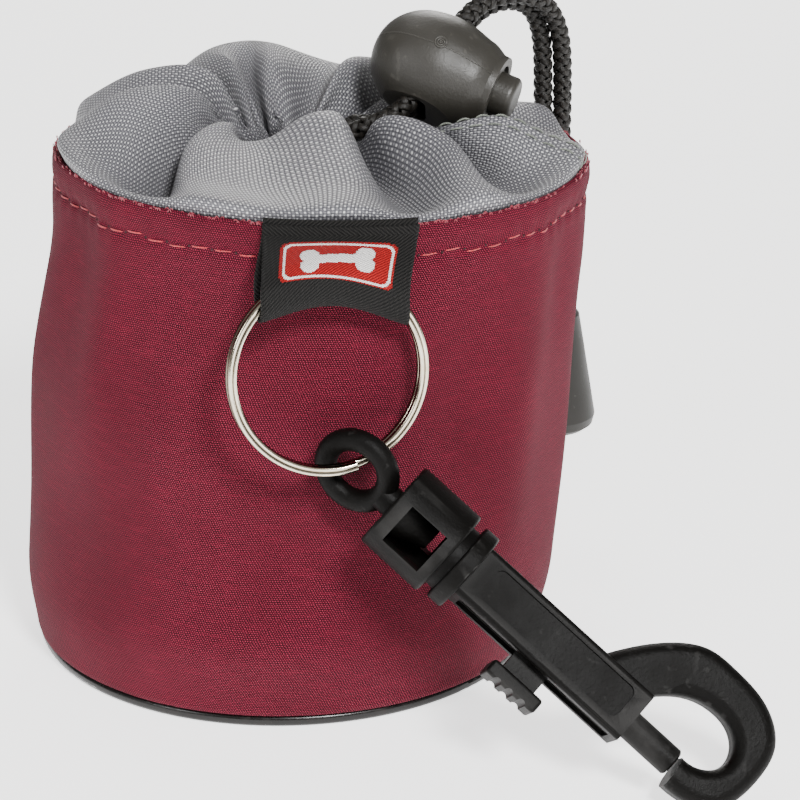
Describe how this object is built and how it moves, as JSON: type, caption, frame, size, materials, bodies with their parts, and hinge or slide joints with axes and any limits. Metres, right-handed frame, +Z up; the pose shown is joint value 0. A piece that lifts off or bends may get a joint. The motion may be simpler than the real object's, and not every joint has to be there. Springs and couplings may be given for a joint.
{
  "type": "treat pouch",
  "caption": "Round drawstring pouch that holds training treats and clips to a belt or bag with a split ring and a swivel snap hook.",
  "frame": {"origin": "centre of the base disc, on the surface that the pouch stands on", "axes": "+Z up, -Y towards the label and the ring, +X towards the hook's free end"},
  "size_m": [0.0969, 0.0947, 0.0865],
  "materials": {
    "shell_cloth": "fine plain weave, slight sheen",
    "lining_cloth": "coated lining cloth",
    "base_vinyl": "satin coated sheet",
    "stiff_board": "plain board",
    "collar_cloth": "coarse basket weave",
    "cord": "braided cord",
    "bell_plastic": "fine moulded grain",
    "lock_plastic": "fine moulded grain",
    "spring_steel": "drawn wire",
    "label_cloth": "woven twill",
    "ring_nickel": "nickel plated",
    "hook_plastic": "moulded, satin with worn edges"
  },
  "bodies": {
    "pouch": {"outer_shell": "shell_cloth", "inner_lining": "lining_cloth", "base_panel": "base_vinyl", "base_stiffener": "stiff_board", "collar": "collar_cloth", "draw_cord_loop": "cord", "draw_cord_tail_front": "cord", "draw_cord_tail_rear": "cord", "cord_end_bell": "bell_plastic", "cord_end_cap": "bell_plastic", "cord_end_knot": "cord", "label_tab": "label_cloth"},
    "cord_lock": {"cord_lock_barrel": "lock_plastic", "cord_lock_spring": "spring_steel"},
    "lock_plunger": {"cord_lock_plunger": "lock_plastic"},
    "ring": {"split_ring": "ring_nickel"},
    "eye": {"swivel_eye": "hook_plastic"},
    "hook": {"hook_body": "hook_plastic", "bolt_spring": "spring_steel"},
    "gate": {"gate_bolt": "hook_plastic", "thumb_slide": "hook_plastic"}
  },
  "joints": [
    {"name": "lock_slide", "type": "slide", "parent": "pouch", "child": "cord_lock", "axis": [0.4196, 0.5835, 0.6953], "range_m": [0, 0.005], "deforming": ["draw_cord_tail_front", "draw_cord_tail_rear"]},
    {"name": "plunger_press", "type": "slide", "parent": "cord_lock", "child": "lock_plunger", "axis": [-0.9079, 0.2931, 0.2997], "range_m": [0, 0.0024], "stiffness_N_per_m": 800, "springref_m": -0.001, "deforming": ["cord_lock_spring"]},
    {"name": "ring_swing", "type": "hinge", "parent": "pouch", "child": "ring", "pos_m": [0.00869, -0.0356, 0.0669], "axis": [-0.9962, -0.0872, 0], "range_deg": [0, 60], "deforming": ["label_tab"]},
    {"name": "eye_swing", "type": "hinge", "parent": "ring", "child": "eye", "pos_m": [0.01035, -0.04056, 0.03914], "axis": [-0.9246, -0.2958, -0.2401], "range_deg": [0, 60]},
    {"name": "hook_swivel", "type": "hinge", "parent": "eye", "child": "hook", "pos_m": [0.01058, -0.04054, 0.03827], "axis": [0.7393, -0.2621, -0.6203], "continuous": true},
    {"name": "gate_slide", "type": "slide", "parent": "hook", "child": "gate", "axis": [-0.7393, 0.2621, 0.6203], "range_m": [0, 0.007], "stiffness_N_per_m": 300, "springref_m": -0.002, "deforming": ["bolt_spring"]}
  ]
}
